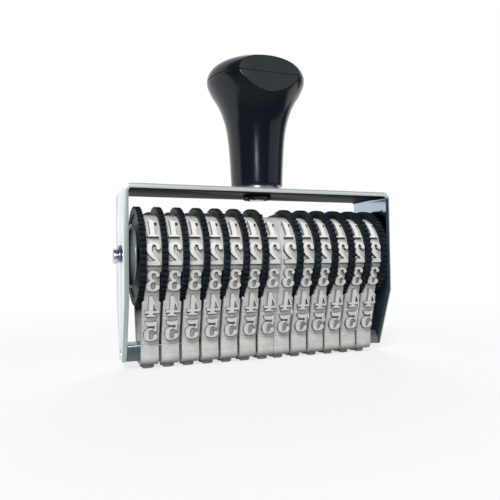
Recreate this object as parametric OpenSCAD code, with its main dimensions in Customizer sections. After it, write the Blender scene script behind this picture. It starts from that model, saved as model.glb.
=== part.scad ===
// Hand stamp with a row of numbering bands, one thumb wheel to each band.
// X runs along the axle, -Y is the front, Z is up, and the printing row rests on Z = 0.

/* [Number row] */
// Number of bands and thumb wheels
band_count = 13; // [10:1:13]
// How many wheels carry their toothed disc on the left; the rest carry it on the right
left_count = 7; // [5:1:8]
// Distance from one band to the next, mm
band_pitch = 5.4; // [5.3:0.05:5.6]
// Width of a band, mm
band_w = 4.64; // [4.4:0.02:4.7]
// Gap between the two middle bands, which have no disc between them, mm
middle_gap = 0.12; // [0.1:0.02:0.3]
// Thickness of a band without its characters, mm
band_t = 1.15; // [1:0.05:1.3]
// Height of a raised character above its band, mm
relief = 1.05; // [0.8:0.05:1.2]
// Height of a character along its band, mm
char_h = 5.4; // [4.5:0.1:5.6]
// Width of a character across its band, mm
char_w = 3.6; // [2.6:0.1:3.6]
// Thickness of a character's strokes, mm
stroke = 0.62; // [0.4:0.02:0.8]

/* [Wheels] */
// Height of the axle above the printing face, mm
axle_z = 29.5; // [28:0.5:31]
// Radius of the wheels over their teeth, mm
wheel_r = 13.15; // [13:0.05:13.3]
// Number of teeth on a wheel
tooth_count = 54; // [40:2:60]
// Depth of the teeth, mm
tooth_depth = 0.5; // [0.3:0.05:0.6]
// Width of the toothed rim, mm
rim_w = 1.5; // [1.3:0.05:1.5]
// Radius inside the toothed rim, mm
rim_in_r = 11.1; // [11.05:0.05:11.3]
// Outer radius of a band where it runs round its drum, mm
band_top_r = 10.9; // [10.8:0.05:10.95]

/* [Frame] */
// Width of the frame, mm
frame_w = 77.9; // [77:0.1:79]
// Depth of the frame, mm
frame_d = 18.2; // [17:0.2:19]
// Top of the frame above the printing face, mm
frame_top = 47.7; // [47.5:0.1:49]
// Bottom of the side plates above the printing face, mm
frame_bottom = 1.9; // [1.8:0.1:2.4]
// Thickness of the sheet, mm
sheet = 1.2; // [1:0.1:1.3]
// Outer radius of the two bends, mm
bend_r = 2; // [1.6:0.1:2.4]
// Height at which the side plates start to narrow, mm
taper_z = 18.8; // [17:0.2:20]
// Depth of the side plates at their lower edge, mm
foot_d = 6.2; // [6:0.1:6.8]

/* [Bridge] */
// Depth of the bar behind the printing row, mm
bridge_d = 7; // [6.8:0.1:7.2]
// Top of the bar above the printing face, mm
bridge_top = 6.4; // [6:0.1:6.6]
// Depth of the tab at each end of the bar, mm
tab_d = 3; // [2.6:0.1:3.2]
// Height of the tab, mm
tab_h = 1.3; // [1:0.1:1.6]

/* [Axle] */
// Radius of the axle, mm
axle_r = 2; // [1.6:0.05:2.1]
// How far the axle stands out of each side plate, mm
axle_out = 1.8; // [1.6:0.1:2.2]
// Outer radius of a retaining ring, mm
ring_r = 2.85; // [2.7:0.05:3.2]
// Thickness of a retaining ring, mm
ring_t = 0.5; // [0.4:0.05:0.6]
// Radius of the dished washers at the ends of the wheels, mm
washer_r = 8.4; // [7.5:0.1:9]

/* [Handle] */
// Bottom of the handle above the printing face, mm
handle_z = 49.1; // [49:0.1:50]
// Radius of the handle at its base, mm
handle_base_r = 7.35; // [7:0.05:7.6]
// Height of the widest part of the head, where its seam lies, mm
seam_z = 79.15; // [78:0.1:80]
// Radius of the widest part, mm
head_r = 14.09; // [13.5:0.1:14.5]
// Top of the handle, mm
handle_top = 85.5; // [85:0.1:87]
// Distance of the head's oval facet from the head's axis, mm
facet_out = 11; // [10.8:0.05:12]
// Tilt of the facet's face towards the sky, degrees
facet_tilt = 4; // [0:1:8]
// Radius of the round spacer under the handle, mm
boss_r = 6.2; // [5.5:0.1:6.6]
// Radius of the round nut under the top plate, mm
nut_r = 3.95; // [3.8:0.05:4.4]
// Thickness of the nut, mm
nut_t = 1.1; // [1:0.1:1.8]
// Radius of the handle's stud, mm
stud_r = 2; // [1.8:0.1:2.2]

/* [Hidden] */
function two_digits(n) = str(n < 10 ? "0" : "", n);
function wheel_name(n) = str("wheel_", two_digits(n));
function band_name(n) = str("band_", two_digits(n));
BANDS = [for (n = [1 : band_count]) n];

smooth = 96;            // sides of a round shape
play = 0.05;            // radial running clearance
band_play = 0.1;        // between a drum and its band
thin = 0.1;             // gap between neighbours on the axle
over = 1;               // how far a cut runs past a face

row_w = (band_count - 1) * band_pitch + 2 * band_w - band_pitch + middle_gap;
disc_gap = band_pitch - band_w;
web_w = disc_gap - 2 * thin;
drum_r = band_top_r - band_t - band_play;
inner_w = frame_w - 2 * sheet;

// ---- the band's outline, in a plane across the axle: x is the depth and y is the height ----
bridge_bottom = relief + band_t;
band_half = bridge_d / 2 + band_t;
corner_r = 1.5;
bend_z = bridge_top;
arm = [band_half, bend_z - axle_z];
tangent_a = atan2(arm.y, arm.x) + acos(band_top_r / norm(arm));
arc_steps = 26;
corner_steps = 5;

function arc(c, rx, ry, a0, a1, n) = [for (i = [0 : n]) let (a = a0 + (a1 - a0) * i / n)
    [c.x + rx * cos(a), c.y + ry * sin(a)]];
function mirrored(pts) = [for (i = [len(pts) - 1 : -1 : 0]) [-pts[i].x, pts[i].y]];

// The right half runs up from the bottom and the left half mirrors it. inset moves the outline inwards.
function bend_point(inset) = let (n1 = [-1, 0], n2 = [-cos(tangent_a), -sin(tangent_a)])
    [band_half, bend_z] + inset * (n1 + n2) / (1 + n1 * n2);
function half_loop(inset) = concat(
    arc([band_half - corner_r, relief + corner_r], corner_r - inset, corner_r - inset, -90, 0, corner_steps),
    [bend_point(inset)],
    arc([0, axle_z], band_top_r - inset, band_top_r - inset, tangent_a, 90, arc_steps / 2)
);
function loop(inset) = let (h = half_loop(inset)) concat(h, [for (p = mirrored(h)) if (abs(p.x) > 0.001) p]);

// ---- places along the outer face of the band, measured from the middle of the printing row ----
flat_len = band_half - corner_r;
corner_len = corner_r * PI / 2;
upright_len = bend_z - relief - corner_r;
run_len = sqrt(arm * arm - band_top_r * band_top_r);
arc_len = band_top_r * (90 - tangent_a) * PI / 180;
half_len = flat_len + corner_len + upright_len + run_len + arc_len;
slot_count = 15;
slot = 2 * half_len / slot_count;
s_run = flat_len + corner_len + upright_len;
s_arc = s_run + run_len;

// Depth, height and outward angle of the place that lies s along the band, for s above the corner.
function place(s) = s == 0 ? [0, relief, -90]
    : s < s_run ? [band_half, bend_z - s_run + s, 0]
    : s < s_arc ? [
        band_half + (s - s_run) * cos(tangent_a + 90),
        bend_z + (s - s_run) * sin(tangent_a + 90),
        tangent_a]
    : let (a = tangent_a + (s - s_arc) / band_top_r * 180 / PI)
        [band_top_r * cos(a), axle_z + band_top_r * sin(a), a];

// Slot 0 prints. Slots 1 and up climb the front, and slots -1 and down climb the back.
FRONT = [" ", "5", "4", "3", "2", "1", " "];
BACK = [" ", "7", "8", "9", "0", ".", "/"];

// ---- characters, drawn upright about their middle: thick strokes rise and thin strokes cross ----
cw = char_w / 2;
ch = char_h / 2;
hair = stroke / 2;
fat = 1.4 * stroke;
bow_steps = 12;
ring_end = 360 - 360 / (2 * bow_steps);
module bow(c, rx, ry, a0, a1) {
    polygon(concat(arc(c, rx, ry, a0, a1, bow_steps), arc(c, rx - stroke, ry - hair, a1, a0, bow_steps)));
}
module ring(c, rx, ry) {
    difference() {
        polygon(arc(c, rx, ry, 0, ring_end, 2 * bow_steps - 1));
        polygon(arc(c, rx - stroke, ry - hair, 0, ring_end, 2 * bow_steps - 1));
    }
}
module bar(x0, x1, y0, y1) {
    translate([x0, y0]) square([x1 - x0, y1 - y0]);
}
module slant(x0, y0, x1, y1, w) {
    polygon([[x0, y0], [x0 + w, y0], [x1 + w, y1], [x1, y1]]);
}
bow_y = 0.46 * ch;    // height of the middle of the upper and lower bows
near_x = 0.8 * cw;    // half width of a foot or flag
cross_y = -0.4 * ch;  // lower edge of the cross stroke of a 4
stem_x = 0.2 * cw;    // left edge of the stem of a 4
module glyph(c) {
    if (c == "0") ring([0, 0], cw, ch);
    if (c == "1") {
        bar(-stroke, hair, -ch, ch);
        bar(-near_x, near_x, -ch, -ch + stroke);
    }
    if (c == "2") {
        bow([0, bow_y], cw, ch - bow_y, -20, 170);
        slant(-cw, -ch + hair, cw - fat, bow_y, fat);
        bar(-cw, cw, -ch, -ch + stroke);
    }
    if (c == "3") {
        bow([0, bow_y], near_x, ch - bow_y, -90, 160);
        bow([0, -bow_y], cw, ch - bow_y, -160, 90);
    }
    if (c == "4") {
        slant(-cw, cross_y, stem_x, ch, stroke);
        bar(-cw, cw, cross_y, cross_y + stroke);
        bar(stem_x, stem_x + stroke, -ch, ch);
    }
    if (c == "5") {
        bar(-near_x, near_x, ch - stroke, ch);
        bar(-near_x, -near_x + stroke, hair, ch);
        bow([0, hair - bow_y], cw, ch - bow_y + hair, -150, 130);
    }
    if (c == "6") {
        ring([0, -bow_y], cw, ch - bow_y);
        bow([cw / 2, -bow_y], cw + cw / 2, ch + bow_y, 100, 180);
    }
    if (c == "7") {
        bar(-cw, cw, ch - stroke, ch);
        slant(-cw / 2, -ch, cw - stroke, ch - hair, stroke);
    }
    if (c == "8") {
        ring([0, bow_y], near_x, ch - bow_y);
        ring([0, -bow_y], cw, ch - bow_y);
    }
    if (c == "9") rotate(180) glyph("6");
    if (c == ".") bar(-stroke, stroke, -ch, -ch + 2 * stroke);
    if (c == "/") slant(-cw, -ch, cw - stroke, ch, stroke);
}

// ---- sub-parts ----
function band_x(n) = (n - 1) * band_pitch - (n > left_count ? disc_gap - middle_gap : 0)
    - row_w / 2 + band_w / 2;

// Turns a drawing in the plane across the axle into a slab along the axle.
module along_axle(x0, w) {
    translate([x0, 0, 0]) rotate([90, 0, 90]) linear_extrude(w) children();
}
module disc_along(x0, w, r) {
    translate([x0, 0, axle_z]) rotate([0, 90, 0]) cylinder(h = w, r = r, $fn = smooth);
}

char_root = 0.6; // how deep a character's block reaches into its band
module band_body(n) {
    difference() {
        along_axle(band_x(n) - band_w / 2, band_w) difference() {
            polygon(loop(0));
            polygon(loop(band_t));
        }
        if (n != left_count + 1) rim_space(band_x(n) - band_pitch / 2);
        if (n != left_count) rim_space(band_x(n) + band_pitch / 2);
    }
}
// The space in which a toothed rim turns, which the edges of the bands leave free.
module rim_space(x) {
    difference() {
        disc_along(x - rim_w / 2 - thin, rim_w + 2 * thin, wheel_r + thin);
        disc_along(x - rim_w, 2 * rim_w, rim_in_r - thin);
    }
}

module band(n) {
    color("lightgray") {
        band_body(n);
        translate([band_x(n), 0, 0]) {
            raised("6", 0, -1);
            for (i = [0 : len(FRONT) - 1]) if (FRONT[i] != " ") raised(FRONT[i], (i + 1) * slot, -1);
            for (i = [0 : len(BACK) - 1]) if (BACK[i] != " ") raised(BACK[i], (i + 1) * slot, 1);
        }
    }
}

// A raised character, mirrored so that it prints the right way round. Its top points up the front run,
// towards the front on the printing row, and down the back run, as on one strip bent into a loop.
module raised(c, s, side) {
    p = place(s);
    translate([0, side * p.x, p.y])
        rotate([-side * (90 - p[2]), 0, 0])
            translate([0, 0, -char_root])
                linear_extrude(char_root + relief)
                    mirror([1, 0]) glyph(c);
}

tooth_a = 360 / tooth_count;
tooth_turns = [0, 0.3, 0.7, 0.99]; // corners of a tooth, as shares of its pitch
module toothed_disc(r) {
    polygon([for (i = [0 : tooth_count - 1]) for (k = [0 : 3])
        let (rr = k == 1 || k == 2 ? r : r - tooth_depth, a = (i + tooth_turns[k]) * tooth_a)
        [rr * cos(a), rr * sin(a)]]);
}

// One thumb wheel: a toothed rim on a thin web beside the drum that carries the band.
web_x = -band_w / 2 - disc_gap + thin; // left face of the web, from the middle of the band
module wheel(n) {
    side = n <= left_count ? -1 : 1;
    color("dimgray")
        translate([band_x(n), 0, 0])
            mirror([side < 0 ? 0 : 1, 0, 0])
                difference() {
                    union() {
                        translate([-(band_w + disc_gap) / 2 - rim_w / 2, 0, axle_z])
                            rotate([90, 0, 90])
                                linear_extrude(rim_w)
                                    difference() {
                                        toothed_disc(wheel_r);
                                        circle(r = rim_in_r, $fn = smooth);
                                    }
                        disc_along(web_x, web_w, (rim_in_r + wheel_r - tooth_depth) / 2);
                        disc_along(web_x, band_w + disc_gap - thin, drum_r);
                    }
                    disc_along(-band_w, 2 * band_w, axle_r + play);
                }
}

foot_r = 0.8; // radius of the lower corners of the side plates
module side_outline() {
    hb = foot_d / 2;
    hd = frame_d / 2;
    half_pts = concat(
        arc([hb - foot_r, frame_bottom + foot_r], foot_r, foot_r, -90, 0, corner_steps),
        [[hd, taper_z], [hd, frame_top + over]]
    );
    polygon(concat(half_pts, mirrored(half_pts)));
}

// Rounded-top outline of the frame seen from the front, drawn in the x-z plane.
module arch(w, top, r) {
    translate([-w / 2, -over]) square([w, top - r + over]);
    translate([-w / 2 + r, -over]) square([w - 2 * r, top + over]);
    for (s = [-1, 1]) translate([s * (w / 2 - r), top - r]) circle(r = r, $fn = smooth);
}

module frame() {
    color("silver") difference() {
        intersection() {
            translate([0, frame_d, 0]) rotate([90, 0, 0]) linear_extrude(2 * frame_d) difference() {
                arch(frame_w, frame_top, bend_r);
                translate([0, -over]) arch(inner_w, frame_top - sheet + over, bend_r - sheet);
            }
            along_axle(-frame_w, 2 * frame_w) side_outline();
        }
        disc_along(-frame_w, 2 * frame_w, axle_r + play);
        translate([-frame_w, -tab_d / 2, tab_z]) cube([2 * frame_w, tab_d, tab_h]);
        translate([0, 0, frame_top - 2 * sheet]) cylinder(h = 3 * sheet, r = stud_r + play, $fn = smooth);
    }
}

tab_z = 3.8;                 // height of the tabs' lower faces
tab_sunk = 0.4;              // how far the tabs' ends lie below the plates' outer faces
edge_r = corner_r - band_t;  // radius of the bar's edges, which the band's corners follow
module bridge_outline() {
    d = bridge_d / 2;
    pts = concat(
        arc([d - edge_r, bridge_bottom + edge_r], edge_r, edge_r, -90, 0, corner_steps),
        arc([d - edge_r, bridge_top - edge_r], edge_r, edge_r, 0, 90, corner_steps)
    );
    polygon(concat(pts, mirrored(pts)));
}
module bridge() {
    color("lightsteelblue") {
        along_axle(-inner_w / 2, inner_w) bridge_outline();
        translate([tab_sunk - frame_w / 2, -tab_d / 2, tab_z]) cube([frame_w - 2 * tab_sunk, tab_d, tab_h]);
    }
}

groove_depth = 0.4;
groove_r = axle_r - groove_depth;
axle_len = frame_w + 2 * axle_out;
module axle() {
    color("gainsboro") difference() {
        disc_along(-axle_len / 2, axle_len, axle_r);
        for (s = [-1, 1]) translate([s * (frame_w + ring_t) / 2 - ring_t / 2, 0, axle_z])
            rotate([0, 90, 0]) difference() {
                cylinder(h = ring_t, r = axle_r + over, $fn = smooth);
                cylinder(h = ring_t, r = groove_r, $fn = smooth);
            }
    }
}

// A ring that sits in the axle's groove and is open at the bottom, where it was pushed on.
module retaining_ring(side) {
    color("slategray") translate([side * (frame_w + ring_t) / 2 - ring_t / 2, 0, axle_z]) rotate([90, 0, 90])
        linear_extrude(ring_t) difference() {
            circle(r = ring_r, $fn = smooth);
            circle(r = groove_r, $fn = smooth);
            translate([-groove_r, -ring_r]) square([2 * groove_r, ring_r]);
            translate([-ring_r, -ring_r]) square([2 * ring_r, ring_r - groove_r]);
        }
}

washer_t = 0.5;
washer_depth = (inner_w - row_w) / 2 - (disc_gap + rim_w) / 2 - 2 * thin;
module side_washer(side) {
    color("silver") mirror([side < 0 ? 0 : 1, 0, 0])
        translate([-inner_w / 2 + thin / 2, 0, axle_z]) rotate([0, 90, 0]) rotate_extrude($fn = smooth)
            polygon([
                [axle_r + play, 0], [washer_r - washer_depth, 0], [washer_r, washer_depth - washer_t],
                [washer_r, washer_depth], [washer_r - washer_depth, washer_t], [axle_r + play, washer_t]
            ]);
}

// The outline of the grip passes through places that are shares of its height and of its growth in radius.
GRIP = [[0, 0], [0.36, 0.09], [0.56, 0.2], [0.7, 0.375], [0.8, 0.57], [0.9, 0.84], [1, 1]];
grip_last = len(GRIP) - 1;
grip_steps = 3;      // steps from one place to the next
crown_power = 2.35;  // squareness of the crown
crown_steps = 10;
function grip_slope(i) = i == grip_last ? 0
    : let (a = GRIP[max(0, i - 1)], b = GRIP[i + 1]) (b.y - a.y) / (b.x - a.x);
function grip_point(i, t) = let (
        a = GRIP[i],
        b = GRIP[i + 1],
        w = b.x - a.x,
        bend = w * t * (1 - t) * ((1 - t) * grip_slope(i) - t * grip_slope(i + 1)),
        grown = a.y + (b.y - a.y) * t * t * (3 - 2 * t) + bend)
    [handle_base_r + (head_r - handle_base_r) * grown, handle_z + (seam_z - handle_z) * (a.x + w * t)];
function grip_outline() = concat(
    [for (i = [0 : grip_last - 1]) for (k = [0 : grip_steps - 1]) grip_point(i, k / grip_steps)],
    [[head_r, seam_z]]
);
function crown_outline() = [for (i = [0 : crown_steps]) let (up = sin(90 * i / crown_steps))
    [head_r * pow(1 - pow(up, crown_power), 1 / crown_power), seam_z + (handle_top - seam_z) * up]];

facet_low = 9; // how far below the seam the facet can reach
module facet_cut() {
    translate([0, 0, seam_z]) rotate([-facet_tilt, 0, 0])
        translate([-head_r, -head_r - facet_out, -facet_low]) cube([2 * head_r, head_r, 2 * facet_low]);
}
stud_in = 14; // depth of the stud's hole in the handle
module handle_body() {
    color("#15171c") difference() {
        rotate_extrude($fn = smooth) polygon(concat(
            [[0, handle_z]],
            grip_outline(),
            [[0, seam_z]]
        ));
        translate([0, 0, handle_z - over]) cylinder(h = stud_in + over, r = stud_r, $fn = smooth);
        facet_cut();
    }
}
module handle_cap() {
    color("#1b1d22") difference() {
        rotate_extrude($fn = smooth) polygon(concat([[0, seam_z]], crown_outline()));
        facet_cut();
    }
}
module handle_boss() {
    color("silver") translate([0, 0, frame_top]) difference() {
        cylinder(h = handle_z - frame_top, r = boss_r, $fn = smooth);
        translate([0, 0, -over]) cylinder(h = handle_z, r = stud_r + play, $fn = smooth);
    }
}
module handle_nut() {
    color("gray") translate([0, 0, frame_top - sheet - nut_t]) difference() {
        cylinder(h = nut_t, r = nut_r, $fn = smooth);
        translate([0, 0, -over]) cylinder(h = nut_t + 2 * over, r = stud_r, $fn = smooth);
    }
}
stud_tip = 0.3; // how far the stud shows below the nut
module handle_stud() {
    color("gainsboro") translate([0, 0, frame_top - sheet - nut_t - stud_tip])
        cylinder(h = stud_tip + nut_t + sheet + handle_z - frame_top + stud_in, r = stud_r, $fn = smooth);
}

frame();
bridge();
axle();
retaining_ring(-1);  // retaining_ring_left
retaining_ring(1);  // retaining_ring_right
side_washer(-1);  // side_washer_left
side_washer(1);  // side_washer_right
handle_body();
handle_cap();
handle_boss();
handle_nut();
handle_stud();
for (n = BANDS) wheel(n);
for (n = BANDS) band(n);
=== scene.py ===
# %% [markdown]
# # A hand stamp with thirteen numbering bands
# A bent steel frame carries an axle. Thirteen black thumb wheels turn on it, and each one drives a
# rubber band of raised characters that runs round its drum and under a steel bar at the foot of the
# frame. A turned black handle stands on top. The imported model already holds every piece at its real
# size, so it is loaded first as a fixed frame, and each new piece takes its place from it.

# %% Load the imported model
import cmath
import math

import bmesh
import bpy
from mathutils import Matrix, Vector


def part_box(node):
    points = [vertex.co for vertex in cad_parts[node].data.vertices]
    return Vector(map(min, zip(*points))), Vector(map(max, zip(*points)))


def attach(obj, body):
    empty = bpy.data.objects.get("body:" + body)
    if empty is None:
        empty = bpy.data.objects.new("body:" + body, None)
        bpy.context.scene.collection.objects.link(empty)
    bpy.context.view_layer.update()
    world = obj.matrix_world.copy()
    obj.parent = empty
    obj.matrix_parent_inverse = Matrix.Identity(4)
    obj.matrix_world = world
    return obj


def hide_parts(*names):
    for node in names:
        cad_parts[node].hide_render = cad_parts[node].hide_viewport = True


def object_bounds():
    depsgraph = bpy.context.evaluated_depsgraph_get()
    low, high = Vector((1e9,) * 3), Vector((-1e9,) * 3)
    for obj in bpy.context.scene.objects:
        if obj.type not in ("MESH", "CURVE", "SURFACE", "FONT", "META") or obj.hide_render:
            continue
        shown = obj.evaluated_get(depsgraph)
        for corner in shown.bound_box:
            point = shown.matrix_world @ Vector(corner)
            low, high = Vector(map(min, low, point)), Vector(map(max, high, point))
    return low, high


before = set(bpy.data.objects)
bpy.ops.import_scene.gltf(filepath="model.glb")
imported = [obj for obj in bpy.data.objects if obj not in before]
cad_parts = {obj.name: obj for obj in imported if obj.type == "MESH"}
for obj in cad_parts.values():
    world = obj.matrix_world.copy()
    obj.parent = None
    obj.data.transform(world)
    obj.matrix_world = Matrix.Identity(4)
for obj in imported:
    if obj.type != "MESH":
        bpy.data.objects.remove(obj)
cad_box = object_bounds()
MM = 0.001

# %% [markdown]
# ## The camera
# The camera stands close, to the left of the stamp and a little below its middle, so that the left
# faces of the wheels show and the row gets smaller towards the right. A lens is easier to trust when
# it is set from measured angles than when it is pushed about by eye, so its place, its three turns
# and its focal length are plain numbers here.

# %% Camera
LENS = 38.02
CAMERA_AT = Vector((-55.0, -142.49, 27.28)) * MM
YAW, TILT, ROLL = (math.radians(a) for a in (20.273, 1.382, -0.783))

scene = bpy.context.scene
camera_data = bpy.data.cameras.new("camera")
camera_data.lens = LENS
camera_data.sensor_width = 36.0
camera_data.clip_start = 0.01
camera = bpy.data.objects.new("camera", camera_data)
scene.collection.objects.link(camera)
camera.matrix_world = (
    Matrix.Translation(CAMERA_AT)
    @ Matrix.Rotation(-YAW, 4, "Z")
    @ Matrix.Rotation(math.pi / 2 + TILT, 4, "X")
    @ Matrix.Rotation(ROLL, 4, "Z")
)
scene.camera = camera
scene.view_settings.view_transform = "Standard"
print("camera at", [round(v, 4) for v in CAMERA_AT])

# %% [markdown]
# ## Shader sums
# A material's masks are small sums, and drawing each one as boxes and wires hides what it does. The
# class below wraps one output of a node, so that a sum such as `1 - mask * 0.4` can be written as it
# is read, and Python adds the Math nodes. Every other kind of node comes from its one method `node`.


# %% A socket that can be used in sums
class Socket:
    """One output of a shader node."""

    def __init__(self, tree, output=None):
        self.tree = tree
        self.output = output

    def node(self, kind, settings=None, inputs=None, output=0):
        """Adds a node, makes its settings, sets or links its inputs, and gives one of its outputs."""
        made = self.tree.nodes.new(kind)
        for name, value in (settings or {}).items():
            setattr(made, name, value)
        for name, value in (inputs or {}).items():
            if isinstance(value, Socket):
                self.tree.links.new(value.output, made.inputs[name])
            else:
                made.inputs[name].default_value = value
        return Socket(self.tree, made.outputs[output])

    def math(self, operation, first, second, clamp=False):
        settings = {"operation": operation, "use_clamp": clamp}
        return self.node("ShaderNodeMath", settings, {0: first, 1: second})

    def to(self, shader, name):
        self.tree.links.new(self.output, shader.inputs[name])

    def __add__(self, other):
        return self.math("ADD", self, other)

    def __radd__(self, other):
        return self.math("ADD", other, self)

    def __sub__(self, other):
        return self.math("SUBTRACT", self, other)

    def __rsub__(self, other):
        return self.math("SUBTRACT", other, self)

    def __mul__(self, other):
        return self.math("MULTIPLY", self, other)

    def __rmul__(self, other):
        return self.math("MULTIPLY", other, self)

    def held(self):
        """The same value, kept between 0 and 1."""
        return self.math("ADD", self, 0.0, clamp=True)


def mix(factor, first, second):
    """A colour between two colours."""
    return factor.node("ShaderNodeMix", {"data_type": "RGBA"}, {0: factor, 6: first, 7: second}, 2)


print("sums: + - * held, node() for the rest, and mix() for colours")

# %% [markdown]
# ## Light, floor and background
# The stamp stands in a white room. Diffuse surfaces get a plain level from the world, while the
# camera, mirrors and glass see full white there, which the Light Path node tells apart. Only the side
# that the stamp faces is dim for mirrors, as behind a photographer, because black plastic with white
# on every side looks grey. The floor keeps a soft shadow near the stamp and fades to white further out.

# %% World
WHITE = (1, 1, 1, 1)
ROOM_LEVEL = 0.12
DIM_SIDE = (0.19, -0.98, 0.0)
DIM_FROM, DIM_OVER = -0.32, 0.14
DIM_TINT = (0.10, 0.125, 0.16, 1)


def seen_white(base):
    """1 for camera, glossy and transmission rays, and 0 for the rays that light surfaces."""
    seeing = ("Is Camera Ray", "Is Glossy Ray", "Is Transmission Ray")
    camera_ray, glossy_ray, clear_ray = (base.node("ShaderNodeLightPath", output=kind) for kind in seeing)
    return (camera_ray + glossy_ray + clear_ray).held()


world = bpy.data.worlds.new("white_room")
scene.world = world
world.use_nodes = True
world.node_tree.nodes.clear()
sky = Socket(world.node_tree)
level = seen_white(sky) * (1 - ROOM_LEVEL) + ROOM_LEVEL
heading = sky.node("ShaderNodeTexCoord", output="Object")
facing = sky.node("ShaderNodeVectorMath", {"operation": "DOT_PRODUCT"}, {0: heading, 1: DIM_SIDE}, "Value")
mirrored = sky.node("ShaderNodeLightPath", output="Is Glossy Ray")
dim = ((facing - DIM_FROM) * (1 / DIM_OVER)).held() * mirrored
room = mix(dim, WHITE, DIM_TINT)
light = sky.node("ShaderNodeBackground", inputs={"Color": room, "Strength": level})
world_out = world.node_tree.nodes.new("ShaderNodeOutputWorld")
light.to(world_out, "Surface")
print("world level", ROOM_LEVEL, "and white for the camera")

# %% Floor
FLOOR_SIZE = 1.6
FADE_FROM, FADE_OVER = 0.06, 0.16
SHADOW_KEPT = 0.3
FLOOR_SEEN, FLOOR_LIT = (0.86, 0.87, 0.88, 1), (0.18, 0.18, 0.18, 1)
DIM_FLOOR = 0.02

bpy.ops.object.select_all(action="DESELECT")
bpy.ops.mesh.primitive_plane_add(size=FLOOR_SIZE, location=(0, 0, cad_box[0].z))
floor = bpy.context.active_object
floor.name = "floor"
paint = bpy.data.materials.new("pale_floor")
paint.use_nodes = True
paint.node_tree.nodes.clear()
base = Socket(paint.node_tree)
place = base.node("ShaderNodeTexCoord", output="Object")
away = base.node("ShaderNodeVectorMath", {"operation": "LENGTH"}, {0: place}, output="Value")
fade = ((away - FADE_FROM) * (1 / FADE_OVER)).held()
white_part = seen_white(base) * (1 - SHADOW_KEPT + fade * SHADOW_KEPT)
ahead = base.node("ShaderNodeSeparateXYZ", inputs={0: place}, output="Y") * -1
mirrored = base.node("ShaderNodeLightPath", output="Is Glossy Ray")
dim = ((ahead - DIM_FLOOR) * (1 / DIM_FLOOR)).held() * mirrored
tone = mix(seen_white(base), FLOOR_LIT, FLOOR_SEEN)
matt = base.node("ShaderNodeBsdfDiffuse", inputs={"Color": tone})
glow = base.node("ShaderNodeEmission", inputs={"Color": mix(dim, WHITE, DIM_TINT), "Strength": 1.0})
both = base.node("ShaderNodeMixShader", inputs={0: white_part, 1: matt, 2: glow})
paint_out = paint.node_tree.nodes.new("ShaderNodeOutputMaterial")
both.to(paint_out, "Surface")
floor.data.materials.append(paint)
print("floor at z =", round(cad_box[0].z, 5))

# %% [markdown]
# ## Lamps
# Four area lamps do the work of softboxes: a key above the camera's left shoulder, a narrow strip
# that draws the soft bright line down the handle's neck, a weak light on the right, and a broad one
# behind, so that the back is lit as the front is. The key and the one behind would show as hard
# patches on the polished crown, so they are hidden from mirror rays.

# %% Lamps
MIDDLE = (cad_box[0] + cad_box[1]) / 2


def lamp(name, at, size, watts, in_mirrors, tint=(1, 1, 1)):
    """A rectangular area lamp that faces the middle of the stamp."""
    data = bpy.data.lights.new(name, "AREA")
    data.shape = "RECTANGLE"
    data.size, data.size_y = size
    data.energy = watts
    data.color = tint
    made = bpy.data.objects.new(name, data)
    scene.collection.objects.link(made)
    made.location = at
    made.rotation_euler = (MIDDLE - made.location).to_track_quat("-Z", "Y").to_euler()
    made.visible_glossy = in_mirrors


lamp("key", (-0.26, -0.46, 0.52), (0.20, 0.20), 3.3, False)
lamp("strip", (-0.17, -0.46, 0.18), (0.085, 0.13), 1.1, True, (0.88, 0.93, 1.0))
lamp("side", (0.50, -0.30, 0.20), (0.60, 0.50), 0.5, True, (0.94, 0.97, 1.0))
lamp("behind", (0.20, 0.50, 0.30), (0.45, 0.40), 2.8, False, (0.97, 0.98, 1.0))

# %% [markdown]
# ## Materials
# Each finish has its own short function. Constants sit on the Principled shader's own sockets, and
# only what changes over the surface is wired: colour, roughness and a fine bump. All patterns read
# Object coordinates, in metres, so `size` in a noise is the real width of its blobs.


# %% Helpers for materials
def new_material(name, constants):
    """A material with a Principled shader, whose constants are set on its own sockets."""
    material = bpy.data.materials.new(name)
    material.use_nodes = True
    shader = material.node_tree.nodes["Principled BSDF"]
    for socket, value in constants.items():
        shader.inputs[socket].default_value = value
    return material, shader, Socket(material.node_tree)


def noise(base, size, detail=3.0, stretch=(1, 1, 1)):
    """Noise with blobs about size metres across, drawn out along the axes that stretch makes long."""
    place = base.node("ShaderNodeTexCoord", output="Object")
    scale = [1 / s for s in stretch]
    turned = base.node("ShaderNodeMapping", inputs={"Vector": place, "Scale": scale})
    return base.node("ShaderNodeTexNoise", inputs={"Vector": turned, "Scale": 1 / size, "Detail": detail})


def coordinates(base):
    """The three Object coordinates, as sockets."""
    place = base.node("ShaderNodeTexCoord", output="Object")
    return [base.node("ShaderNodeSeparateXYZ", inputs={0: place}, output=axis) for axis in "XYZ"]


def step_up(value, low, high):
    """0 where the value is below low, 1 above high, and a straight slope between."""
    return ((value - low) * (1 / (high - low))).held()


def bump(height, strength, depth):
    """A normal from a height, where depth is how deep the full height is, in metres."""
    return height.node("ShaderNodeBump", inputs={"Height": height, "Strength": strength, "Distance": depth})


print("helpers: new_material, noise, coordinates, step_up, bump")

# %% [markdown]
# ## Rubber
# The bands are a light warm grey rubber. A moulded face is never one even tone: it has a soft mottle,
# a fine grain that breaks the highlight, and the printing row is stained a little darker by ink. The
# steep sides of the characters carry painted shade and, more lightly, so does the ground between
# them, which makes them easy to read. The painted shade is darkest on the sides that face the printing row.

# %% Band rubber
LIGHT_RUBBER = (0.87, 0.85, 0.80, 1)
DULL_RUBBER = (0.72, 0.705, 0.67, 1)
INKED_RUBBER = (0.25, 0.25, 0.215, 1)
INK_FULL, INK_GONE = 0.4 * MM, 3.2 * MM


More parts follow.
